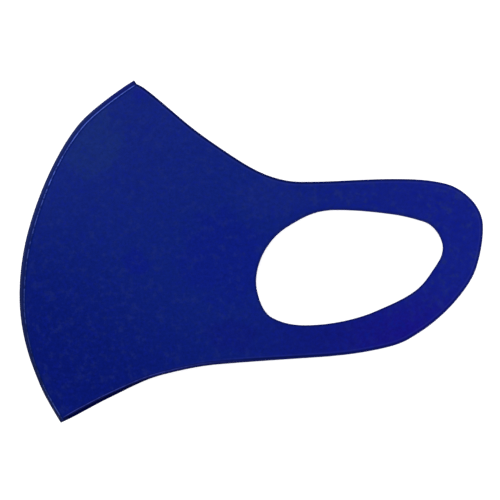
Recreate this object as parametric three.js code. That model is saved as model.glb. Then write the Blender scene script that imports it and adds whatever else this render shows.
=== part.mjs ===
// A stretch-foam face mask, folded in half along its front seam and lying flat.
//
// Two mirrored panels lie one on the other. Each is die-cut from one sheet of soft foam, with its
// ear loop in one piece with it, and they are joined only along the curved front seam, where both
// are pressed thin onto a narrow flange. The upper panel arches over the lower one, so the pocket
// that the face goes into stays open along the nose edge and along the chin edge.
//
// Millimetres. +X runs from the seam to the ear loops, +Y to the nose, +Z up. The origin is the
// centre of the outline, on the surface that the mask lies on.

import * as THREE from 'three';

const PANEL_THICKNESS = 2.0;
const PRESSED_THICKNESS = 0.6; // of a panel, where the seam pinches it
const PINCH_WIDTH = 5.0; // how far behind the seam the foam swells back to full thickness

const FLANGE_THICKNESS = 0.8;
const FLANGE_WIDTH_AT_CHIN = 1.2; // what shows outside the panels
const FLANGE_WIDTH_AT_NOSE = 2.0;
const FLANGE_TUCK = 2.0; // what lies hidden between the panels
const FLANGE_LIP = 0.25; // rounding of the flange's outer edge

const CLEARANCE = 0.3; // kept between pieces that touch on the real mask
const FLANGE_BOTTOM = PANEL_THICKNESS + CLEARANCE; // where the flange rests on the lower panel
const ARCH_HEIGHT = 5.0; // how far the upper panel stands off the flange's height
const ARCH_RISE = 45.0; // from the seam to the top of the arch
const ARCH_FALL_START = -20.0; // x where the arch starts to come down
const ARCH_FALL_END = 38.0; // x where the upper ear loop lies on the lower one

const FOAM_COLOR = 0x101f76;
const FLANGE_COLOR = 0x0a1452;
const FOAM_ROUGHNESS = 0.95;
const FLANGE_ROUGHNESS = 0.8;

// Each outline is a short table: where the edge passes, and its heading there in degrees,
// counterclockwise from +X. The stretch between two rows is one smooth curve.

// The outer edge of the seam, from the chin up to the nose.
const SEAM = [
  { at: 'chin', x: -78.4, y: -70.5, heading: 121 },
  { at: 'under_lip', x: -84.5, y: -59.8, heading: 118 },
  { at: 'below_lips', x: -89.6, y: -48.0, heading: 111 },
  { at: 'front', x: -95.3, y: -18.0, heading: 90 },
  { at: 'lips', x: -91.8, y: 8.5, heading: 75 },
  { at: 'nose_tip', x: -83.1, y: 32.5, heading: 65 },
  { at: 'bridge', x: -72.1, y: 51.3, heading: 52.5 },
  { at: 'nose_top', x: -60.1, y: 62.5, heading: 38 },
  { at: 'nose', x: -48.5, y: 70.5, heading: 32.5 },
];

// The free edge of a panel, clockwise from the nose, round the ear loop, to the chin.
const FREE_EDGE = [
  { at: 'nose', x: -47.0, y: 69.2, heading: -27 },
  { at: 'nose_side', x: -44.4, y: 67.4, heading: -38 },
  { at: 'under_eye', x: -25.4, y: 51.2, heading: -39.5 },
  { at: 'cheekbone', x: -8.8, y: 39.3, heading: -33.5 },
  { at: 'temple', x: 5.9, y: 31.2, heading: -21 },
  { at: 'loop_root', x: 20.0, y: 28.4, heading: 0 },
  { at: 'loop_top', x: 59.0, y: 29.7, heading: 0 },
  { at: 'loop_shoulder', x: 80.0, y: 27.8, heading: -14 },
  { at: 'loop_corner', x: 90.7, y: 21.2, heading: -47 },
  { at: 'loop_back', x: 95.4, y: 10.0, heading: -90 },
  { at: 'behind_ear', x: 92.7, y: -6.4, heading: -107 },
  { at: 'lobe', x: 84.3, y: -20.1, heading: -130 },
  { at: 'under_lobe', x: 75.3, y: -28.9, heading: -140 },
  { at: 'behind_jaw', x: 65.1, y: -35.9, heading: -149 },
  { at: 'jaw_corner', x: 51.6, y: -40.4, heading: -168 },
  { at: 'jaw', x: 29.0, y: -43.4, heading: -176 },
  { at: 'jaw_front', x: -14.0, y: -46.5, heading: -175 },
  { at: 'under_cheek', x: -36.0, y: -50.6, heading: -166 },
  { at: 'under_chin', x: -58.0, y: -60.0, heading: -154 },
  { at: 'chin', x: -77.3, y: -70.2, heading: -153 },
];

// The edge of the ear opening, clockwise from its lower front.
const EAR_HOLE = [
  { at: 'low_front', x: 3.2, y: -20.1, heading: 108 },
  { at: 'front', x: 1.9, y: -12.9, heading: 90 },
  { at: 'high_front', x: 10.1, y: 6.5, heading: 46 },
  { at: 'upper', x: 19.4, y: 13.0, heading: 30 },
  { at: 'upper_back', x: 27.5, y: 16.4, heading: 14 },
  { at: 'top', x: 35.2, y: 17.3, heading: 0 },
  { at: 'top_back', x: 59.0, y: 15.4, heading: -8 },
  { at: 'high_back', x: 71.1, y: 12.5, heading: -17 },
  { at: 'corner', x: 76.9, y: 7.9, heading: -57 },
  { at: 'back', x: 79.1, y: 1.5, heading: -90 },
  { at: 'low_back', x: 74.1, y: -9.1, heading: -123 },
  { at: 'elbow', x: 67.7, y: -16.4, heading: -143 },
  { at: 'underside', x: 52.0, y: -24.6, heading: -156 },
  { at: 'bottom_back', x: 36.6, y: -29.3, heading: -169 },
  { at: 'bottom', x: 21.7, y: -30.8, heading: -180 },
  { at: 'bottom_front', x: 8.9, y: -28.0, heading: -207 },
];

// The panel is meshed in four sectors, each between a stretch of the ear opening and the stretch
// of the outer edge that faces it.
const SECTORS = [
  { steps: 26, hole: ['low_front', 'high_front'], edge: 'seam' },
  { steps: 24, hole: ['high_front', 'top_back'], edge: ['nose', 'loop_top'] },
  { steps: 18, hole: ['top_back', 'elbow'], edge: ['loop_top', 'under_lobe'] },
  { steps: 24, hole: ['elbow', 'low_front'], edge: ['under_lobe', 'chin'] },
];
const INNER_RINGS = 6; // evenly spaced from the ear opening out
const OUTER_RINGS = [6.0, 2.5, 0]; // distances from the outer edge
const SEAM_STATIONS = 48;

const { clamp, lerp, degToRad, smoothstep } = THREE.MathUtils;

// ---------------------------------------------------------------------------- outlines

// One curve between two rows, with handles as long as those of a circular arc that turns as much.
function span(from, to) {
  const start = new THREE.Vector2(from.x, from.y);
  const end = new THREE.Vector2(to.x, to.y);
  const headings = [from.heading, to.heading].map(degToRad);
  const turn = Math.abs(Math.atan2(
    Math.sin(headings[1] - headings[0]),
    Math.cos(headings[1] - headings[0]),
  ));
  const reach = start.distanceTo(end) / (3 * Math.cos(turn / 4) ** 2);
  const [leaving, arriving] = headings.map((a) => new THREE.Vector2(Math.cos(a), Math.sin(a)));
  return new THREE.CubicBezierCurve(
    start,
    start.clone().addScaledVector(leaving, reach),
    end.clone().addScaledVector(arriving, -reach),
    end,
  );
}

// The curve through the rows of a table from one named row to another, in the table's order.
function stretch(rows, from, to) {
  const path = new THREE.CurvePath();
  let index = rows.findIndex((row) => row.at === from);
  do {
    const next = (index + 1) % rows.length;
    path.add(span(rows[index], rows[next]));
    index = next;
  } while (rows[index].at !== to);
  return path;
}

const seamCurve = stretch(SEAM, 'chin', 'nose');

// A point of the seam, `inward` millimetres behind its outer edge.
function seamPoint(t, inward) {
  const point = seamCurve.getPointAt(t);
  const along = seamCurve.getTangentAt(t);
  return new THREE.Vector2(point.x + along.y * inward, point.y - along.x * inward);
}

function flangeWidth(t) {
  return lerp(FLANGE_WIDTH_AT_CHIN, FLANGE_WIDTH_AT_NOSE, t);
}

// The pressed front edge of a panel, from the chin to the nose.
function panelFront(steps) {
  const points = [];
  for (let i = 0; i <= steps; i += 1) {
    const t = i / steps;
    points.push(seamPoint(t, flangeWidth(t)));
  }
  return points;
}

// ---------------------------------------------------------------------------- heights

const frontLine = panelFront(SEAM_STATIONS);

function distanceBehindSeam(x, y) {
  const point = new THREE.Vector3(x, y, 0);
  const nearest = new THREE.Vector3();
  let best = Infinity;
  for (let i = 1; i < frontLine.length; i += 1) {
    const line = new THREE.Line3(
      new THREE.Vector3(frontLine[i - 1].x, frontLine[i - 1].y, 0),
      new THREE.Vector3(frontLine[i].x, frontLine[i].y, 0),
    );
    line.closestPointToPoint(point, true, nearest);
    best = Math.min(best, nearest.distanceTo(point));
  }
  return best;
}

// 0 at the pressed edge, 1 where the foam has its full thickness.
function swell(behind) {
  return Math.sin((clamp(behind / PINCH_WIDTH, 0, 1) * Math.PI) / 2);
}

function foamThickness(behind) {
  return lerp(PRESSED_THICKNESS, PANEL_THICKNESS, swell(behind));
}

// The lower panel lies flat, and the underside of its pressed edge rises towards the flange.
function lowerSurfaces(x, y) {
  const behind = distanceBehindSeam(x, y);
  return { bottom: PANEL_THICKNESS - foamThickness(behind), top: PANEL_THICKNESS };
}

// The upper panel starts on the flange, arches over the pocket, and comes down onto the lower loop.
function upperSurfaces(x, y) {
  const behind = distanceBehindSeam(x, y);
  const rise = Math.sin((clamp(behind / ARCH_RISE, 0, 1) * Math.PI) / 2);
  const fall = 1 - smoothstep(x, ARCH_FALL_START, ARCH_FALL_END);
  const lift = FLANGE_THICKNESS + CLEARANCE + ARCH_HEIGHT * rise;
  const bottom = FLANGE_BOTTOM + lift * fall;
  return { bottom, top: bottom + foamThickness(behind) };
}

// ---------------------------------------------------------------------------- meshes

function closedGeometry(vertices, triangles) {
  const geometry = new THREE.BufferGeometry();
  geometry.setAttribute('position', new THREE.Float32BufferAttribute(vertices.flat(), 3));
  geometry.setIndex(triangles.flat());
  geometry.computeVertexNormals();
  return geometry;
}

// The ear opening and the outer edge as two closed loops of points that face each other.
function facingLoops() {
  const hole = [];
  const edge = [];
  for (const sector of SECTORS) {
    const inner = stretch(EAR_HOLE, ...sector.hole).getSpacedPoints(sector.steps);
    const outer = sector.edge === 'seam'
      ? panelFront(sector.steps)
      : stretch(FREE_EDGE, ...sector.edge).getSpacedPoints(sector.steps);
    hole.push(...inner.slice(0, -1));
    edge.push(...outer.slice(0, -1));
  }
  return { hole, edge };
}

// A panel: rings of points from the ear opening to the outer edge, on its two faces.
function panelGeometry(surfaces) {
  const { hole, edge } = facingLoops();
  const around = hole.length;
  const rings = INNER_RINGS + OUTER_RINGS.length;
  const top = [];
  const bottom = [];
  for (let ring = 0; ring < rings; ring += 1) {
    for (let i = 0; i < around; i += 1) {
      const width = hole[i].distanceTo(edge[i]);
      const lastInner = 1 - OUTER_RINGS[0] / width;
      const share = ring < INNER_RINGS
        ? (lastInner * ring) / INNER_RINGS
        : 1 - OUTER_RINGS[ring - INNER_RINGS] / width;
      const { x, y } = hole[i].clone().lerp(edge[i], share);
      const z = surfaces(x, y);
      top.push([x, y, z.top]);
      bottom.push([x, y, z.bottom]);
    }
  }
  const triangles = [];
  const quad = (a, b, c, d) => triangles.push([a, b, c], [a, c, d]);
  const below = top.length;
  for (let i = 0; i < around; i += 1) {
    const next = (i + 1) % around;
    for (let ring = 0; ring < rings - 1; ring += 1) {
      const inner = ring * around;
      const outer = inner + around;
      quad(inner + i, inner + next, outer + next, outer + i);
      quad(below + inner + i, below + outer + i, below + outer + next, below + inner + next);
    }
    const last = (rings - 1) * around;
    quad(i, below + i, below + next, next);
    quad(last + i, last + next, below + last + next, below + last + i);
  }
  return closedGeometry([...top, ...bottom], triangles);
}

// The flange: a flat strip along the seam, tucked between the panels, with a rounded outer edge.
function seamGeometry() {
  const vertices = [];
  const triangles = [];
  const corners = 6;
  for (let i = 0; i <= SEAM_STATIONS; i += 1) {
    const t = i / SEAM_STATIONS;
    const back = flangeWidth(t) + FLANGE_TUCK;
    const section = [
      [0, FLANGE_LIP],
      [FLANGE_LIP, 0],
      [back, 0],
      [back, FLANGE_THICKNESS],
      [FLANGE_LIP, FLANGE_THICKNESS],
      [0, FLANGE_THICKNESS - FLANGE_LIP],
    ];
    for (const [inward, rise] of section) {
      const { x, y } = seamPoint(t, inward);
      vertices.push([x, y, FLANGE_BOTTOM + rise]);
    }
  }
  for (let i = 0; i < SEAM_STATIONS; i += 1) {
    for (let corner = 0; corner < corners; corner += 1) {
      const a = i * corners + corner;
      const b = i * corners + ((corner + 1) % corners);
      triangles.push([a, b + corners, b], [a, a + corners, b + corners]);
    }
  }
  const last = SEAM_STATIONS * corners;
  for (let corner = 1; corner < corners - 1; corner += 1) {
    triangles.push([0, corner, corner + 1], [last, last + corner + 1, last + corner]);
  }
  return closedGeometry(vertices, triangles);
}

// ---------------------------------------------------------------------------- assembly

function piece(name, geometry, color, roughness) {
  const material = new THREE.MeshStandardMaterial({ color, roughness, metalness: 0 });
  const mesh = new THREE.Mesh(geometry, material);
  mesh.name = name;
  return mesh;
}

const mask = new THREE.Group();
mask.add(piece('panel_lower', panelGeometry(lowerSurfaces), FOAM_COLOR, FOAM_ROUGHNESS));
mask.add(piece('panel_upper', panelGeometry(upperSurfaces), FOAM_COLOR, FOAM_ROUGHNESS));
mask.add(piece('front_seam', seamGeometry(), FLANGE_COLOR, FLANGE_ROUGHNESS));

export default mask;
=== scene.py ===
import math

import bmesh
import bpy
import numpy as np
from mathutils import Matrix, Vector
from mathutils.geometry import delaunay_2d_cdt


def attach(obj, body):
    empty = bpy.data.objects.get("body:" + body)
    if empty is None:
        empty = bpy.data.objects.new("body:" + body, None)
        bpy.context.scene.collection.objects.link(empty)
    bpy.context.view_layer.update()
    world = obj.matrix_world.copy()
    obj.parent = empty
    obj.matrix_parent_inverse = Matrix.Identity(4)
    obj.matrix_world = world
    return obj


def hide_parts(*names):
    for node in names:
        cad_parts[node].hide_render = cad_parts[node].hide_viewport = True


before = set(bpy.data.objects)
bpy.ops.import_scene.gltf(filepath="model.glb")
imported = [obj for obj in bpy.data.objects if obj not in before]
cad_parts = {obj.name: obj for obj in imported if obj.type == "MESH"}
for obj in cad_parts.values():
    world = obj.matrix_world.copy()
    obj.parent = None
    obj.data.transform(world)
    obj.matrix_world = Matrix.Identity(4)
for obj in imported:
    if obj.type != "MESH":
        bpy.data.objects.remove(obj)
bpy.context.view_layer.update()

# A stretch-foam face mask, folded in half along its front seam and lying flat. Two die-cut foam
# panels lie one on the other, and a heat-pressed strip joins them down the front.
#
# The tables and sizes below are in millimetres unless their comment says otherwise, and the
# finished meshes and the studio are in metres. +X runs from the seam to the ear loops, +Y to the
# nose, +Z up.

MM = 0.001

# ---------------------------------------------------------------------------- sizes

PANEL_THICKNESS = 2.0
PRESSED_THICKNESS = 0.6  # of a panel, where the seam pinches it
PINCH_WIDTH = 5.0  # how far behind the seam the foam swells back to full thickness

STRIP_MIDDLE = 2.7  # height of the pressed strip's middle
STRIP_TUCK = 2.0  # what lies hidden between the panels

LOWER_TOP = 2.0
UPPER_BOTTOM = 2.3  # of the upper ear loop, lying on the lower one
SEAM_LIFT = 1.1  # the upper panel's extra height at the strip
ARCH_HEIGHT = 5.0
ARCH_RISE = 45.0  # from the seam to the top of the arch
ARCH_FALL_START = -20.0  # x where the arch starts to come down
ARCH_FALL_END = 38.0  # x where the upper loop lies on the lower one
CLOSING = 0.36  # how far each panel's pressed edge bends towards the strip

EDGE_SPACING = 0.8
FOAM_SPACING = 0.85
STRIP_SPACING = 0.4
EDGE_MARGIN = 0.6 * FOAM_SPACING  # kept free of inner points beside an edge
SAME_POINT = 0.1  # points of an outline closer than this are one point
SMALLEST_COSINE = 0.5  # of half a corner's turn, so no mitre is over twice its set-back
POINTS_AT_ONCE = 2000  # measured against a line together, which saves memory
TINY = 1e-6  # what delaunay_2d_cdt takes as no distance
TRIANGLES_INSIDE = 1  # the kind of result asked of delaunay_2d_cdt

PUCKER = 0.07  # unevenness of the foam along the seam
PUCKER_LENGTH = 4.6
PUCKER_REACH = 2.6
PUCKER_DRIFT = 1.4  # radians by which the puckers run ahead and behind
PUCKER_DRIFT_LENGTH = 11.0  # of one radian of that drift

BEAD_FOOT = 0.30  # half thickness of the strip above which it counts as bead
BEAD_FULL = 0.09  # height of the bead where its painted highlight is full
BEAD_LENGTH = 2.1  # from one knuckle of the bead to the next
BEAD_DRIFT = 1.5  # radians by which the knuckles run ahead and behind
BEAD_DRIFT_LENGTH = 7.0  # of one radian of that drift
BEAD_DIP = 0.35  # share of its height that the bead loses between knuckles
END_DIP = 0.5  # and at the strip's ends
END_START = 0.3  # how far from the strip's ends the bead starts to rise
END_REACH = 1.8  # and where it has its full height

CREST_TOP = -38.0  # y below which the upper panel's edge starts to have a painted highlight on its crest
CREST_FULL = -46.0  # y below which it has all of it
CREST_FRONT = -50.0  # x where the crest's painted highlight starts to fade
CREST_BACK = 10.0  # x where it is gone

# ---------------------------------------------------------------------------- outlines

# Each row: the place, x, y, and the heading of the edge there in degrees from +X.

# The outer edge of the seam, from the chin up to the nose.
SEAM = [
    ("chin", -78.15, -70.7, 121),
    ("under_lip", -84.5, -59.8, 118),
    ("below_lips", -89.6, -48.0, 111),
    ("front", -95.3, -18.0, 90),
    ("lips", -91.8, 8.5, 75),
    ("nose_tip", -83.1, 32.5, 65),
    ("bridge", -72.1, 51.3, 52.5),
    ("nose_top", -60.1, 62.5, 38),
    ("nose", -48.3, 70.8, 32.5),
]

# The free edge of a panel, clockwise from the nose, round the ear loop, to the chin.
FREE_EDGE = [
    ("nose", -47.1, 69.1, -27),
    ("nose_side", -44.4, 67.4, -38),
    ("under_eye", -25.4, 51.2, -39.5),
    ("cheekbone", -8.8, 39.3, -33.5),
    ("temple", 5.9, 31.2, -21),
    ("loop_root", 20.0, 28.4, 0),
    ("loop_top", 59.0, 29.7, 0),
    ("loop_shoulder", 80.0, 27.8, -14),
    ("loop_corner", 90.7, 21.2, -47),
    ("loop_back", 95.4, 10.0, -90),
    ("behind_ear", 92.7, -6.4, -107),
    ("lobe", 84.3, -20.1, -130),
    ("under_lobe", 75.3, -28.9, -140),
    ("behind_jaw", 65.1, -35.9, -149),
    ("jaw_corner", 51.6, -40.4, -168),
    ("jaw", 29.0, -43.4, -176),
    ("jaw_front", -14.0, -46.5, -175),
    ("under_cheek", -36.0, -50.6, -166),
    ("under_chin", -58.0, -60.0, -154),
    ("chin", -77.3, -70.2, -153),
]

# The edge of the ear opening, clockwise from its lower front.
EAR_OPENING = [
    ("low_front", 3.2, -20.1, 108),
    ("front", 1.9, -12.9, 90),
    ("high_front", 10.1, 6.5, 46),
    ("upper", 19.4, 13.0, 30),
    ("upper_back", 27.5, 16.4, 14),
    ("top", 35.2, 17.3, 0),
    ("top_back", 59.0, 15.4, -8),
    ("high_back", 71.1, 12.5, -17),
    ("corner", 76.9, 7.9, -57),
    ("back", 79.1, 1.5, -90),
    ("low_back", 74.1, -9.1, -123),
    ("elbow", 67.7, -16.4, -143),
    ("underside", 52.0, -24.6, -156),
    ("bottom_back", 36.6, -29.3, -169),
    ("bottom", 21.7, -30.8, -180),
    ("bottom_front", 8.9, -28.0, -207),
]

# What shows of the pressed strip outside the panels: the place, y, the width, and how strong
# the painted highlight on its bead is, from 0 to 1.
STRIP_WIDTHS = [
    ("chin", -70.4, 1.48, 0.40),
    ("under_lip", -58.0, 1.42, 0.25),
    ("below_lips", -48.0, 1.44, 0.08),
    ("lower_front", -37.0, 1.78, 0.16),
    ("front", -14.0, 2.22, 0.28),
    ("lips", 20.0, 2.20, 0.32),
    ("under_nose", 30.0, 2.02, 0.78),
    ("nose_tip", 40.0, 2.04, 0.80),
    ("bridge", 51.0, 2.28, 0.90),
    ("nose", 70.8, 2.16, 1.00),
]

# How far the upper panel's lower edge stands back from the lower panel's: the place, x, how far.
CHIN_STEP = [
    ("chin", -78.0, 1.05),
    ("beside_chin", -71.0, 1.12),
    ("under_chin", -61.5, 0.93),
    ("middle", -56.5, 0.78),
    ("under_jaw", -46.0, 0.30),
    ("under_cheek", -38.0, 0.00),
]

# A cut edge of the foam from its upper crown to its lower one, as (set back, share of the
# thickness), for foam of full thickness. The waist is where the foam springs back after cutting.
CUT_EDGE = [
    (0.54, 1.000),
    (0.31, 0.988),
    (0.12, 0.945),
    (-0.03, 0.860),
    (-0.12, 0.740),
    (-0.11, 0.600),
    (-0.07, 0.500),
    (-0.11, 0.400),
    (-0.12, 0.260),
    (-0.03, 0.140),
    (0.12, 0.055),
    (0.31, 0.012),
    (0.54, 0.000),
]

# The slow unevenness of the foam sheet, one row for each wave: its direction, height, length of
# one radian, radians of drift across it, length of one radian of drift, and radians at 0.
SLOW_WAVES = [
    ("along_x", 0.025, 9.0, 1.3, 17.0, 0.0),
    ("along_y", 0.025, 7.5, 1.1, 13.0, 2.0),
]

# The upper half of the pressed strip's section, as (measured from, distance, half thickness).
STRIP_SECTION = [
    ("outer edge", -0.12, 0.12),
    ("outer edge", -0.06, 0.23),
    ("outer edge", 0.12, 0.29),
    ("outer edge", 0.38, 0.27),
    ("inner edge", -0.70, 0.26),
    ("inner edge", -0.56, 0.29),
    ("inner edge", -0.46, 0.39),
    ("inner edge", -0.35, 0.47),
    ("inner edge", -0.22, 0.50),
    ("inner edge", -0.10, 0.45),
    ("inner edge", 0.00, 0.35),
    ("inner edge", 0.08, 0.31),
    ("inner edge", 0.16, 0.30),
    ("inner edge", 0.60, 0.30),
    ("inner edge", STRIP_TUCK, 0.25),
]


def span(start, end, count=40):
    """One smooth curve between two rows, with handles as long as a circular arc's."""
    (_, x0, y0, h0), (_, x1, y1, h1) = start, end
    first = np.array([x0, y0])
    last = np.array([x1, y1])
    leaving = np.array([math.cos(math.radians(h0)), math.sin(math.radians(h0))])
    arriving = np.array([math.cos(math.radians(h1)), math.sin(math.radians(h1))])
    turn = abs(math.remainder(math.radians(h1 - h0), math.tau))
    reach = np.linalg.norm(last - first) / (3 * math.cos(turn / 4) ** 2)
    t = np.linspace(0, 1, count)[:, None]
    return (
        first * (1 - t) ** 3
        + (first + leaving * reach) * 3 * t * (1 - t) ** 2
        + (last - arriving * reach) * 3 * t**2 * (1 - t)
        + last * t**3
    )


def through(rows):
    """The curve through a table's rows, as many short steps."""
    pieces = [span(a, b) for a, b in zip(rows, rows[1:])]
    return np.concatenate([pieces[0], *[p[1:] for p in pieces[1:]]])


def lengths_along(line):
    """How far along a line each of its points is."""
    steps = np.linalg.norm(np.diff(line, axis=0), axis=1)
    return np.concatenate([[0.0], np.cumsum(steps)])


def evenly(line, spacing):
    """The same line with its points a given distance apart."""
    along = lengths_along(line)
    count = max(2, round(along[-1] / spacing) + 1)
    places = np.linspace(0, along[-1], count)
    return np.stack([np.interp(places, along, line[:, k]) for k in (0, 1)], axis=1)


def right_of(line):
    """Unit vectors to the right of an open line's direction of travel."""
    ahead = np.gradient(line, axis=0)
    ahead /= np.linalg.norm(ahead, axis=1)[:, None]
    return np.stack([ahead[:, 1], -ahead[:, 0]], axis=1)


def mitres(loop):
    """For a closed loop, what moves each point by one unit of set-back to the right of travel."""
    before = loop - np.roll(loop, 1, axis=0)
    after = np.roll(loop, -1, axis=0) - loop
    before /= np.linalg.norm(before, axis=1)[:, None]
    after /= np.linalg.norm(after, axis=1)[:, None]
    side = np.stack([before[:, 1] + after[:, 1], -before[:, 0] - after[:, 0]], axis=1)
    length = np.linalg.norm(side, axis=1)[:, None]
    cosine = length / 2
    return side / length / np.maximum(cosine, SMALLEST_COSINE)


def nearest(line, points):
    """Distance from each point to a line, and how far along the line its nearest place is."""
    start = line[:-1]
    step = line[1:] - start
    square = (step**2).sum(axis=1)
    along = lengths_along(line)
    run = np.sqrt(square)
    distance = np.empty(len(points))
    place = np.empty(len(points))
    for low in range(0, len(points), POINTS_AT_ONCE):
        some = slice(low, low + POINTS_AT_ONCE)
        offset = points[some, None, :] - start[None]
        share = np.clip((offset * step).sum(axis=2) / square, 0, 1)
        gap = np.linalg.norm(offset - share[..., None] * step, axis=2)
        best = gap.argmin(axis=1)
        row = np.arange(len(best))
        distance[some] = gap[row, best]
        place[some] = along[best] + share[row, best] * run[best]
    return distance, place


def inside(points, loop):
    """Whether each point lies inside a closed loop."""
    x, y = points[:, 0, None], points[:, 1, None]
    x0, y0 = loop[:, 0], loop[:, 1]
    x1, y1 = np.roll(x0, -1), np.roll(y0, -1)
    rising = (y0 > y) != (y1 > y)
    height = np.where(y1 == y0, 1.0, y1 - y0)
    crossing = x < x0 + (y - y0) * (x1 - x0) / height
    return (rising & crossing).sum(axis=1) % 2 == 1


def smooth_step(value, low, high):
    """0 up to low, 1 from high on, and a smooth change between the two."""
    t = np.clip((value - low) / (high - low), 0, 1)
    return t * t * (3 - 2 * t)


def column(table, which, at):
    """One column of a table, read between its rows at places given by the table's x or y."""
    return np.interp(at, [row[1] for row in table], [row[which] for row in table])


seam_line = evenly(through(SEAM), STRIP_SPACING)
strip_width = column(STRIP_WIDTHS, 2, seam_line[:, 1])
bead_highlight = column(STRIP_WIDTHS, 3, seam_line[:, 1])
seam_inward = right_of(seam_line)
panel_front = seam_line + seam_inward * strip_width[:, None]
free_edge = through(FREE_EDGE)
ear_edge = through([*EAR_OPENING, EAR_OPENING[0]])

# ---------------------------------------------------------------------------- heights


def swell(behind):
    """0 at the pressed edge, 1 where the foam has its full thickness."""
    return np.sin(np.clip(behind / PINCH_WIDTH, 0, 1) * math.pi / 2)


def foam_thickness(behind, place):
    """A panel's thickness: pinched at the seam, full behind it, with small puckers between."""
    drift = PUCKER_DRIFT * np.sin(place / PUCKER_DRIFT_LENGTH)
    pucker = 1 - np.cos(place * math.tau / PUCKER_LENGTH + drift)
    fade = np.exp(-behind / PUCKER_REACH) * swell(behind)
    full = PRESSED_THICKNESS + (PANEL_THICKNESS - PRESSED_THICKNESS) * swell(behind)
    return full - PUCKER * pucker * fade * 2


def slow_waves(points):
    """How much the slow unevenness adds to the sheet's top."""
    height = np.zeros(len(points))
    for axis, (_, size, length, drift, drift_length, start) in enumerate(SLOW_WAVES):
        along, across = points[:, axis], points[:, 1 - axis]
        height += size * np.sin(along / length + drift * np.sin(across / drift_length) + start)
    return height


def lower_surfaces(points):
    """The lower panel lies flat, and its pressed edge rises towards the strip."""
    behind, place = nearest(panel_front, points)
    closing = CLOSING * (1 - swell(behind))
    top = LOWER_TOP + closing
    return top - foam_thickness(behind, place), top


def upper_surfaces(points):
    """The upper panel starts on the strip, arches, and comes down onto the lower ear loop."""
    behind, place = nearest(panel_front, points)
    rise = np.sin(np.clip(behind / ARCH_RISE, 0, 1) * math.pi / 2)
    fall = 1 - smooth_step(points[:, 0], ARCH_FALL_START, ARCH_FALL_END)
    lift = SEAM_LIFT + ARCH_HEIGHT * rise - CLOSING * (1 - swell(behind))
    bottom = UPPER_BOTTOM + lift * fall
    return bottom, bottom + foam_thickness(behind, place) + slow_waves(points)


# ---------------------------------------------------------------------------- meshes


def mesh_object(name, vertices, faces, attributes):
    """A closed smooth mesh at the origin, from millimetres, with one number per point each."""
    mesh = bpy.data.meshes.new(name)
    mesh.from_pydata((np.asarray(vertices) * MM).tolist(), [], faces)
    mesh.update()
    shell = bmesh.new()
    shell.from_mesh(mesh)
    bmesh.ops.recalc_face_normals(shell, faces=shell.faces)
    for face in shell.faces:
        face.smooth = True
    shell.to_mesh(mesh)
    shell.free()
    for label, values in attributes.items():
        layer = mesh.attributes.new(label, "FLOAT", "POINT")
        layer.data.foreach_set("value", np.asarray(values, dtype=np.float32))
    piece = bpy.data.objects.new(name, mesh)
    bpy.context.scene.collection.objects.link(piece)
    return piece


def band(first, second, count):
    """Quads between two closed rows of points."""
    ring = range(count)
    return [
        (first + i, first + (i + 1) % count, second + (i + 1) % count, second + i) for i in ring
    ]


def filling(outer, opening):
    """Evenly spread points between two closed loops."""
    low, high = outer.min(axis=0), outer.max(axis=0)
    row_height = FOAM_SPACING * math.sqrt(3) / 2
    rows = np.arange(low[1], high[1], row_height)
    columns = np.arange(low[0], high[0], FOAM_SPACING)
    x, y = np.meshgrid(columns, rows)
    x = x + (np.arange(len(rows)) % 2)[:, None] * FOAM_SPACING / 2
    points = np.stack([x.ravel(), y.ravel()], axis=1)
    points = points[inside(points, outer) & ~inside(points, opening)]
    for loop in (outer, opening):
        away, _ = nearest(np.concatenate([loop, loop[:1]]), points)
        points = points[away > EDGE_MARGIN]
    return points


def panel_outline(on_top):
    """A panel's free edge, and its whole outer edge. The upper one is set back at the chin."""
    free = evenly(free_edge, EDGE_SPACING)
    stepped = on_top * column(CHIN_STEP, 2, free[:, 0]) * (free[:, 1] < 0)
    free = free + right_of(free) * stepped[:, None]
    chin_step = CHIN_STEP[0][2]
    above_chin = nearest(free_edge, panel_front)[0] > on_top * chin_step
    front = evenly(panel_front[above_chin | (panel_front[:, 1] > 0)], EDGE_SPACING)
    if not on_top:
        front[0] = free[-1]
    outline = np.concatenate([front, free[:-1]])
    steps = np.linalg.norm(outline - np.roll(outline, 1, axis=0), axis=1)
    return free, outline[steps > SAME_POINT]


def cut_rows(edge, into_foam, surfaces):
    """The rows of points down one cut edge, from its upper crown to its lower one."""
    bottom, top = surfaces(edge)
    thinness = ((top - bottom) / PANEL_THICKNESS)[:, None]
    rows = []
    for set_back, share in CUT_EDGE:
        plan = edge + into_foam * set_back * thinness
        low, high = surfaces(plan)
        rows.append(np.column_stack([plan, low + share * (high - low)]))
    return rows


def face_triangles(crowns):
    """The points in plan between the outer crown and the opening's, and triangles facing up."""
    plan = np.concatenate([*crowns, filling(*crowns)])
    outer, opening = (len(crown) for crown in crowns)
    loops = [list(range(outer)), list(range(outer, outer + opening))]
    fixed = [(a, b) for loop in loops for a, b in zip(loop, loop[1:] + loop[:1])]
    corners = [Vector(point) for point in plan.tolist()]
    found = delaunay_2d_cdt(corners, fixed, [], TRIANGLES_INSIDE, TINY, True)
    origin = np.array([sources[0] for sources in found[3]])
    triangles = origin[np.array(found[2])]
    middles = plan[triangles].mean(axis=1)
    triangles = triangles[inside(middles, crowns[0]) & ~inside(middles, crowns[1])]
    a, b, c = (plan[triangles[:, k]] for k in range(3))
    clockwise = (b - a)[:, 0] * (c - a)[:, 1] < (c - a)[:, 0] * (b - a)[:, 1]
    triangles[clockwise] = triangles[clockwise][:, ::-1]
    return plan, [tuple(triangle) for triangle in triangles.tolist()]


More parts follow.
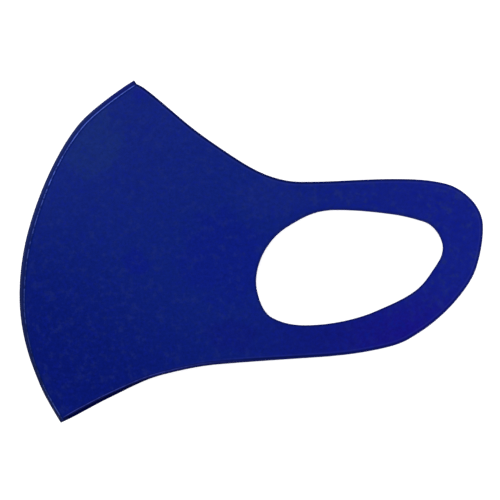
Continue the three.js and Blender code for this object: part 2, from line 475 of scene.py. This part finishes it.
def panel_marks(points, free, opening, on_top):
    """What the foam's finish needs to know about each point of a panel."""
    plan = points[:, :2]
    # chin_side marks where the upper panel's edge gets a painted highlight, and where the painted
    # shade under the chin and the fringe's painted highlight are left off.
    chin_side = on_top * smooth_step(-plan[:, 1], -CREST_TOP, -CREST_FULL)
    chin_side *= 1 - smooth_step(plan[:, 0], CREST_FRONT, CREST_BACK)
    return {
        "from_edge": nearest(free, plan)[0],
        "from_opening": nearest(np.concatenate([opening, opening[:1]]), plan)[0],
        "behind_seam": nearest(panel_front, plan)[0],
        "chin_side": chin_side,
    }


def panel(name, surfaces, on_top):
    """One foam sheet: two faces of evenly spread triangles joined round both of its cut edges."""
    free, outline = panel_outline(on_top)
    opening = evenly(ear_edge, EDGE_SPACING)[:-1]
    rims = [
        cut_rows(outline, mitres(outline), surfaces),
        cut_rows(opening, -mitres(opening), surfaces),
    ]
    plan, triangles = face_triangles([rows[0][:, :2] for rows in rims])
    bottom, top = surfaces(plan)
    vertices = [np.column_stack([plan, top]), np.column_stack([plan, bottom])]
    below = len(plan)  # from a point of the top face to the one under it
    faces = triangles + [tuple(below + c for c in reversed(t)) for t in triangles]
    side = [np.zeros(2 * below)]
    total = 2 * below
    for rows, crown in zip(rims, (0, len(outline))):
        count = len(rows[0])
        previous = crown
        for (_, share), row in zip(CUT_EDGE[1:-1], rows[1:-1]):
            faces += band(previous, total, count)
            vertices.append(row)
            side.append(np.full(count, 1 - abs(2 * share - 1) ** 3))
            previous = total
            total += count
        faces += band(previous, below + crown, count)
    vertices = np.concatenate(vertices)
    marks = panel_marks(vertices, free, opening, on_top)
    return mesh_object(name, vertices, faces, {**marks, "cut_side": np.concatenate(side)})


def pressed_strip():
    """The strip that joins the panels: pressed flat, with a raised bead beside the foam."""
    lower_half = [(start, distance, -half) for start, distance, half in reversed(STRIP_SECTION)]
    section = [*STRIP_SECTION, *lower_half]
    along = lengths_along(seam_line)
    measured_from = {"outer edge": np.zeros(len(along)), "inner edge": strip_width}
    to_end = np.minimum(along, along[-1] - along)
    at_end = 1 - smooth_step(to_end, END_START, END_REACH)
    drift = BEAD_DRIFT * np.sin(along / BEAD_DRIFT_LENGTH)
    between_knuckles = 0.5 + 0.5 * np.sin(along * math.tau / BEAD_LENGTH + drift)
    rows = []
    bead = []
    outer = []
    for start, distance, half in section:
        across = measured_from[start] + distance
        raised = max(0.0, abs(half) - BEAD_FOOT) * math.copysign(1, half)
        lost = BEAD_DIP * between_knuckles + END_DIP * at_end
        height = STRIP_MIDDLE + half - raised * lost
        rows.append(np.column_stack([seam_line + seam_inward * across[:, None], height]))
        # how much painted highlight the bead gets at each point
        bead.append(min(1.0, abs(raised) / BEAD_FULL) * bead_highlight * (1 - at_end))
        outer.append(across)
    vertices = np.stack(rows, axis=1).reshape(-1, 3)
    count = len(section)
    faces = []
    for station in range(len(along) - 1):
        here, there = station * count, (station + 1) * count
        for i in range(count):
            after = (i + 1) % count
            faces.append((here + i, here + after, there + after, there + i))
    last = (len(along) - 1) * count
    faces.append(tuple(range(count)))
    faces.append(tuple(last + i for i in reversed(range(count))))
    attributes = {
        "bead": np.stack(bead, axis=1).ravel(),
        "from_outside": np.stack(outer, axis=1).ravel(),
        "seam_place": np.repeat(along, count),
        "at_end": np.repeat(at_end, count),
    }
    return mesh_object("pressed_strip", vertices, faces, attributes)


# ---------------------------------------------------------------------------- finishes


class Value:
    """A socket of a finish's nodes. Arithmetic on it adds Math nodes."""

    def __init__(self, finish, socket):
        self.finish = finish
        self.socket = socket

    def math(self, operation, *inputs, **settings):
        settings = {"operation": operation, **settings}
        return self.finish.node("ShaderNodeMath", settings, dict(enumerate(inputs)))

    def __add__(self, other):
        return self.math("ADD", self, other)

    __radd__ = __add__

    def __sub__(self, other):
        return self.math("SUBTRACT", self, other)

    def __rsub__(self, other):
        return self.math("SUBTRACT", other, self)

    def __mul__(self, other):
        return self.math("MULTIPLY", self, other)

    __rmul__ = __mul__

    def __truediv__(self, other):
        return self.math("DIVIDE", self, other)

    def __neg__(self):
        return 0.0 - self

    def clipped(self):
        return self.math("ADD", self, 0.0, use_clamp=True)


class Finish:
    """A procedural material being put together."""

    def __init__(self, name):
        self.material = bpy.data.materials.new(name)
        self.material.use_nodes = True
        self.tree = self.material.node_tree
        self.tree.nodes.clear()
        self.place = self.node("ShaderNodeTexCoord", {}, {}, "Object")

    def node(self, kind, settings, inputs, output=0):
        """A node with its settings and inputs made, as the value of one of its outputs."""
        made = self.tree.nodes.new(kind)
        for name, value in settings.items():
            setattr(made, name, value)
        for name, value in inputs.items():
            if isinstance(value, Value):
                self.tree.links.new(value.socket, made.inputs[name])
            else:
                made.inputs[name].default_value = value
        return Value(self, made.outputs[output]) if made.outputs else None

    def coordinate(self, axis):
        """X or Y in millimetres, as in the tables."""
        return self.node("ShaderNodeSeparateXYZ", {}, {0: self.place}, axis) * (1 / MM)

    def attribute(self, name):
        return self.node("ShaderNodeAttribute", {"attribute_name": name}, {}, "Fac")

    def noise(self, size, detail, roughness):
        """Soft blotches of about the given size in millimetres."""
        inputs = {
            "Vector": self.place,
            "Scale": 1 / (size * MM),
            "Detail": detail,
            "Roughness": roughness,
        }
        return self.node("ShaderNodeTexNoise", {}, inputs, "Fac")

    def cells(self, size):
        """0 in the middle of each foam cell and more towards its walls."""
        inputs = {"Vector": self.place, "Scale": 1 / (size * MM)}
        return self.node("ShaderNodeTexVoronoi", {}, inputs, "Distance")

    def ramp(self, value, low, high, start=0.0, end=1.0):
        """start up to low, end from high on, and a smooth change between the two."""
        inputs = {"Value": value, 1: low, 2: high, 3: start, 4: end}
        settings = {"interpolation_type": "SMOOTHSTEP"}
        return self.node("ShaderNodeMapRange", settings, inputs)

    def mix(self, share, first, second):
        return self.node("ShaderNodeMix", {"data_type": "RGBA"}, {0: share, 6: first, 7: second}, 2)

    def shade(self, color, brightness):
        settings = {"operation": "SCALE"}
        return self.node("ShaderNodeVectorMath", settings, {0: color, "Scale": brightness})

    def surface(self, color, roughness, bump, bump_strength, bump_depth, **constants):
        """The finished material, with its bump's depth given in millimetres."""
        relief = {"Height": bump, "Strength": bump_strength, "Distance": bump_depth * MM}
        normal = self.node("ShaderNodeBump", {}, relief)
        inputs = {"Base Color": color, "Roughness": roughness, "Normal": normal, **constants}
        shader = self.node("ShaderNodeBsdfPrincipled", {}, inputs)
        self.node("ShaderNodeOutputMaterial", {}, {"Surface": shader})
        return self.material


def opaque(red, green, blue):
    return (red, green, blue, 1.0)


FOAM_BLUE = opaque(0.0031, 0.0106, 0.1275)
FOAM_VIOLET = opaque(0.0046, 0.0098, 0.1590)
FOAM_PLUM = opaque(0.0031, 0.0062, 0.1215)
LOOP_PLUM = opaque(0.0060, 0.0032, 0.1510)
FOAM_BRIGHT = opaque(0.0051, 0.0128, 0.1370)
FOAM_TEAL = opaque(0.0062, 0.0176, 0.1205)
FOAM_SHADE_BLUE = opaque(0.0017, 0.0060, 0.1085)
TEAL_PATCH = opaque(0.0100, 0.0196, 0.1200)
VIOLET_PATCH = opaque(0.0025, 0.0066, 0.1510)
RIM_SHADE_BLUE = opaque(0.0012, 0.0036, 0.0420)
FRINGE_HIGHLIGHT_BLUE = opaque(0.0230, 0.0320, 0.1900)
CUT_SHADE_BLUE = opaque(0.0040, 0.0064, 0.0930)
CHIN_SHADOW_BLUE = opaque(0.0003, 0.0013, 0.0400)
CREST_HIGHLIGHT_BLUE = opaque(0.0280, 0.0390, 0.2700)
PINCH_SHADE_BLUE = opaque(0.0008, 0.0066, 0.0950)
PRESSED_BLUE = opaque(0.0110, 0.0185, 0.0880)
PRESSED_DEEP = opaque(0.0018, 0.0085, 0.0960)
BEAD_HIGHLIGHT_BLUE = opaque(0.0580, 0.1000, 0.4500)
NOSE_VIOLET = opaque(0.0040, 0.0040, 0.2000)
NOSE_DEEP = opaque(0.0010, 0.0030, 0.1150)
COOL_SHINE = opaque(0.3000, 0.4500, 1.0000)

PATCH_EDGE = (0.45, 1.05)  # where a patch starts to fade and where it is gone
PATCH_BREAK = 2.4  # how strongly noise breaks up a patch's edge
MOTTLE = (0.50, 0.66)  # between the noise of plain foam and of a small patch
TICK_TURN = 3.0  # radians of the pressed strip's faint ticks in a millimetre

# Patches of other colour: the place, x, y, half width, half height, colour, share.
COLOUR_PATCHES = [
    ("beside_nose", -65.5, 44.5, 13.0, 17.0, FOAM_TEAL, 0.75),
    ("before_ear", -11.0, -3.0, 19.0, 22.0, VIOLET_PATCH, 0.55),
    ("front_spot", -47.0, -5.0, 6.0, 6.0, VIOLET_PATCH, 0.60),
    ("jaw_front", -8.0, -36.0, 12.0, 7.0, FOAM_PLUM, 0.60),
    ("loop_corner", 82.0, 12.0, 16.0, 18.0, FOAM_VIOLET, 0.50),
    ("temple", 8.0, 22.0, 16.0, 9.0, FOAM_BRIGHT, 0.60),
    ("nose_corner", -45.5, 65.0, 4.0, 3.0, NOSE_VIOLET, 0.30),
]


def sheet_color(foam, along_x, up_y, towards_jaw):
    """The slow changes of colour from one end of the sheet to the other, with painted light making
    it lighter towards the nose and painted shade making it darker towards the chin.
    """
    towards_loop = foam.ramp(along_x, -10.0, 85.0)
    color = foam.mix(towards_loop, FOAM_BLUE, FOAM_VIOLET)
    plum = foam.mix(foam.ramp(along_x, 20.0, 70.0), FOAM_PLUM, LOOP_PLUM)
    color = foam.mix(towards_jaw * 0.85, color, plum)
    # Painted light: lighter towards the nose, the side facing the light.
    painted_light_towards_nose = foam.ramp(up_y - along_x * 0.35, 0.0, 85.0)
    color = foam.mix(painted_light_towards_nose, color, FOAM_BRIGHT)
    behind_seam = foam.attribute("behind_seam")
    beside_seam = foam.ramp(behind_seam, 2.0, 17.0, 1.0, 0.0) * foam.ramp(up_y, -40.0, 40.0)
    color = foam.mix(beside_seam * 0.10, color, FOAM_TEAL)
    # Painted shade: darker towards the chin.
    painted_shade_towards_chin = foam.ramp(-up_y - along_x * 0.6, 18.0, 96.0)
    return foam.mix(painted_shade_towards_chin, color, FOAM_SHADE_BLUE)


def with_patches(foam, color, along_x, up_y):
    """The larger patches, with edges broken up by noise."""
    blotches = foam.noise(8.0, 4.0, 0.65)
    for _, middle_x, middle_y, half_width, half_height, patch_color, share in COLOUR_PATCHES:
        aside = (along_x - middle_x) / half_width
        above = (up_y - middle_y) / half_height
        reach = aside * aside + above * above + (blotches - 0.5) * PATCH_BREAK
        color = foam.mix(foam.ramp(reach, *PATCH_EDGE, share, 0.0), color, patch_color)
    return color


def mottled(foam, color, along_x, towards_jaw):
    """Small patches a few millimetres wide, stronger on the ear loop."""
    on_loop = foam.ramp(along_x, 0.0, 60.0)
    teal_patches = foam.ramp(foam.noise(3.2, 4.0, 0.70), *MOTTLE)
    teal_share = (0.34 + on_loop * 0.24) * (1 - towards_jaw * 0.75)
    color = foam.mix(teal_patches * teal_share, color, TEAL_PATCH)
    violet_patches = foam.ramp(foam.noise(2.6, 4.0, 0.70), *MOTTLE)
    return foam.mix(violet_patches * (0.40 + on_loop * 0.35), color, VIOLET_PATCH)


def edged(foam, color, along_x, up_y, cut_side):
    """Painted shade on the rims and cut sides, partly the darker cut foam; painted highlights on
    the crest of the upper panel's edge at the chin and just inside the rims; painted shade in the
    pinch and under the chin.
    """
    from_edge = foam.attribute("from_edge")
    from_opening = foam.attribute("from_opening")
    chin_side = foam.attribute("chin_side")

    # Painted shade along the edges, partly the darker heat-cut foam: weaker towards the back of the
    # ear loop, and stronger on the low side of the ear opening, which faces away from the light.
    towards_back = foam.ramp(along_x, 0.0, 95.0, 0.90, 0.50)
    outer_rim_shade = foam.ramp(from_edge, 0.55, 1.10, 1.0, 0.0) * towards_back
    low_side = foam.ramp(up_y, -20.0, 5.0, 0.55, 0.30)
    opening_rim_shade = foam.ramp(from_opening, 0.50, 1.00, 1.0, 0.0) * low_side
    color = foam.mix(outer_rim_shade + opening_rim_shade, color, RIM_SHADE_BLUE)
    # Painted highlight: a lighter band just inside the dark rim, along the rounded top of the edge.
    fringe_highlight = foam.ramp(from_edge, 0.80, 1.05) * foam.ramp(from_edge, 1.25, 1.70, 1.0, 0.0)
    color = foam.mix(fringe_highlight * (1 - chin_side) * 0.20, color, FRINGE_HIGHLIGHT_BLUE)

    # Painted highlight on the crest of the upper panel's edge at the chin.
    crest_break = foam.ramp(foam.noise(2.1, 3.0, 0.7), 0.36, 0.60)
    crest_highlight = foam.ramp(from_edge, 0.12, 0.30) * foam.ramp(from_edge, 0.48, 0.72, 1.0, 0.0)
    crest_highlight = crest_highlight * chin_side * (crest_break * 0.5 + 0.5)
    color = foam.mix(crest_highlight * 0.8, color, CREST_HIGHLIGHT_BLUE)
    # Painted shade in the groove where each panel's pressed edge meets the strip.
    pinch_shade = foam.ramp(foam.attribute("behind_seam"), 0.25, 0.80, 1.0, 0.0)
    color = foam.mix(pinch_shade * 0.9, color, PINCH_SHADE_BLUE)

    # Painted shadow under the chin, where the upper panel overhangs the lower panel's edge.
    below = foam.ramp(up_y, -46.0, -38.0, 1.0, 0.0)
    under_chin = foam.ramp(along_x, -48.0, -38.0, 1.0, 0.0) * below
    chin_shadow = foam.ramp(from_edge, 0.50, 1.60, 1.0, 0.0) * under_chin * (1 - chin_side)
    color = foam.mix(chin_shadow, color, CHIN_SHADOW_BLUE)
    # The cut sides: partly the foam's own darker open cells, partly painted shade of sides turned
    # away from the light, with painted shadow under the chin.
    cut_side_shade = foam.mix(under_chin, CUT_SHADE_BLUE, CHIN_SHADOW_BLUE)
    return foam.mix(cut_side * 0.9, color, cut_side_shade)


def foam_finish():
    """Matte stretch foam: fine cells, faint uneven colour, painted light towards the nose and
    painted shade towards the chin, and painted shade on its rims and cut sides.
    """
    foam = Finish("soft_foam")
    along_x = foam.coordinate("X")
    up_y = foam.coordinate("Y")
    towards_jaw = foam.ramp(-up_y, 8.0, 36.0) * foam.ramp(along_x, -20.0, 30.0)
    color = sheet_color(foam, along_x, up_y, towards_jaw)
    color = with_patches(foam, color, along_x, up_y)
    color = mottled(foam, color, along_x, towards_jaw)
    pores = foam.ramp(foam.cells(0.42), 0.05, 0.34, 1.0, 0.0)
    grain = foam.noise(1.3, 3.0, 0.7)
    color = foam.shade(color, 1.02 + (grain - 0.5) * 0.9 - pores * 0.10)
    cut_side = foam.attribute("cut_side")
    color = edged(foam, color, along_x, up_y, cut_side)

    open_cells = foam.cells(0.55)
    fine_cells = foam.cells(0.34)
    soft = foam.noise(2.4, 3.0, 0.5)
    height = fine_cells * 0.55 + soft * 0.5 + open_cells * cut_side * 1.2
    roughness = 0.90 + pores * 0.06
    constants = {
        "Specular IOR Level": 0.02,
        "Specular Tint": COOL_SHINE,
        "Sheen Weight": 0.008,
        "Sheen Roughness": 0.5,
        "Sheen Tint": COOL_SHINE,
    }
    return foam.surface(color, roughness, height, bump_strength=0.35, bump_depth=0.25, **constants)


def pressed_finish():
    """Foam pressed into a dense skin: dark and slightly smoother, with painted shade darkening it
    towards the chin and at its ends, and a painted highlight on its bead.
    """
    skin = Finish("pressed_foam")
    bead = skin.attribute("bead")
    place = skin.attribute("seam_place")
    from_outside = skin.attribute("from_outside")

    inner = skin.ramp(from_outside, 0.30, 1.20)
    color = skin.mix(inner, PRESSED_BLUE, PRESSED_DEEP)
    up_y = skin.coordinate("Y")
    # Painted shade: the strip is darker towards the chin and lightest at the nose.
    painted_light_towards_nose = skin.ramp(up_y, -70.0, 45.0, 0.50, 1.04)
    color = skin.shade(color, painted_light_towards_nose * (0.75 + skin.noise(1.1, 3.0, 0.6) * 0.5))
    ticks = skin.node("ShaderNodeMath", {"operation": "SINE"}, {0: place * TICK_TURN})
    color = skin.mix(skin.ramp(ticks, 0.2, 1.0) * 0.2, color, PRESSED_DEEP)
    color = skin.mix(skin.ramp(up_y, 56.0, 64.0) * 0.55, color, NOSE_DEEP)
    # Painted shade at the strip's ends.
    color = skin.mix(skin.attribute("at_end") * 0.75, color, RIM_SHADE_BLUE)
    # Painted highlight along the bead: steady near the nose, broken up by noise lower down.
    patchy = skin.ramp(skin.noise(2.2, 4.0, 0.7), 0.42, 0.58)
    steady = skin.ramp(up_y, 30.0, 55.0, 0.20, 0.72)
    patchy = steady + patchy * (1.0 - steady) * 2.0
    color = skin.mix((bead * patchy).clipped(), color, BEAD_HIGHLIGHT_BLUE)

    grain = skin.noise(0.5, 3.0, 0.6)
    height = grain * 0.5 + skin.cells(0.7) * 0.4
    roughness = 0.72 + skin.noise(0.9, 2.0, 0.5) * 0.12
    constants = {"Specular IOR Level": 0.06}
    return skin.surface(color, roughness, height, bump_strength=0.3, bump_depth=0.15, **constants)


def floor_finish():
    """Plain pale paper."""
    paper = Finish("pale_floor")
    shade = paper.noise(60.0, 3.0, 0.5)
    color = paper.mix(shade, PAPER_SHADE, PAPER_LIGHT)
    grain = paper.noise(0.6, 2.0, 0.5)
    constants = {
        "Specular IOR Level": 0.0,
        "Emission Color": WHITE,
        "Emission Strength": FLOOR_GLOW,
    }
    return paper.surface(color, 0.95, grain, bump_strength=0.05, bump_depth=0.1, **constants)


# ---------------------------------------------------------------------------- studio

VIEW_ELEVATION = 85.5  # degrees above the floor
VIEW_DISTANCE = 2.0
VIEW_CENTRE = Vector((-0.0005, 0.0004, 0.0040))
VIEW_WIDTH = 0.2059  # of what the camera sees at the object
SENSOR = 36.0  # the camera's, in millimetres

WORLD_STRENGTH = 1.15
FLOOR_SIZE = 12.0
FLOOR_GLOW = 0.40  # keeps the paper's shadows faint
WHITE = opaque(1.0, 1.0, 1.0)
PAPER_SHADE = opaque(0.90, 0.90, 0.90)
PAPER_LIGHT = opaque(0.93, 0.93, 0.93)

# Each row: the lamp, its place in metres, its size in metres and its power in watts.
LAMPS = [
    ("overhead_light", (-0.3, 0.5, 1.6), 1.2, 6.0),
    ("side_light", (1.0, -0.4, 1.2), 1.0, 2.4),
]


def camera():
    tilt = math.radians(VIEW_ELEVATION)
    back = Vector((0.0, -math.cos(tilt), math.sin(tilt)))
    place = VIEW_CENTRE + back * VIEW_DISTANCE
    turn = (math.radians(90.0 - VIEW_ELEVATION), 0.0, 0.0)
    bpy.ops.object.camera_add(location=place, rotation=turn)
    made = bpy.context.object
    made.name = "camera"
    made.data.sensor_width = SENSOR
    made.data.lens = SENSOR * VIEW_DISTANCE / VIEW_WIDTH
    bpy.context.scene.camera = made


def lamp(name, place, size, power):
    bpy.ops.object.light_add(type="AREA", location=place)
    made = bpy.context.object
    made.name = name
    made.data.size = size
    made.data.energy = power
    made.rotation_euler = (-Vector(place)).to_track_quat("-Z", "Y").to_euler()


def studio():
    scene = bpy.context.scene
    scene.view_settings.view_transform = "Standard"
    world = bpy.data.worlds.new("studio")
    world.use_nodes = True
    background = world.node_tree.nodes["Background"]
    background.inputs["Color"].default_value = WHITE
    background.inputs["Strength"].default_value = WORLD_STRENGTH
    scene.world = world
    for name, place, size, power in LAMPS:
        lamp(name, place, size, power)
    bpy.ops.mesh.primitive_plane_add(size=FLOOR_SIZE, location=(0.0, 0.0, 0.0))
    floor = bpy.context.object
    floor.name = "floor"
    floor.data.materials.append(floor_finish())


# ---------------------------------------------------------------------------- assembly

camera()
studio()

foam = foam_finish()
lower = panel("foam_panel_lower", lower_surfaces, on_top=False)
upper = panel("foam_panel_upper", upper_surfaces, on_top=True)
strip = pressed_strip()
for piece in (lower, upper):
    piece.data.materials.append(foam)
strip.data.materials.append(pressed_finish())
for piece, node in ((lower, "panel_lower"), (upper, "panel_upper"), (strip, "front_seam")):
    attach(piece, "root")
    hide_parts(node)
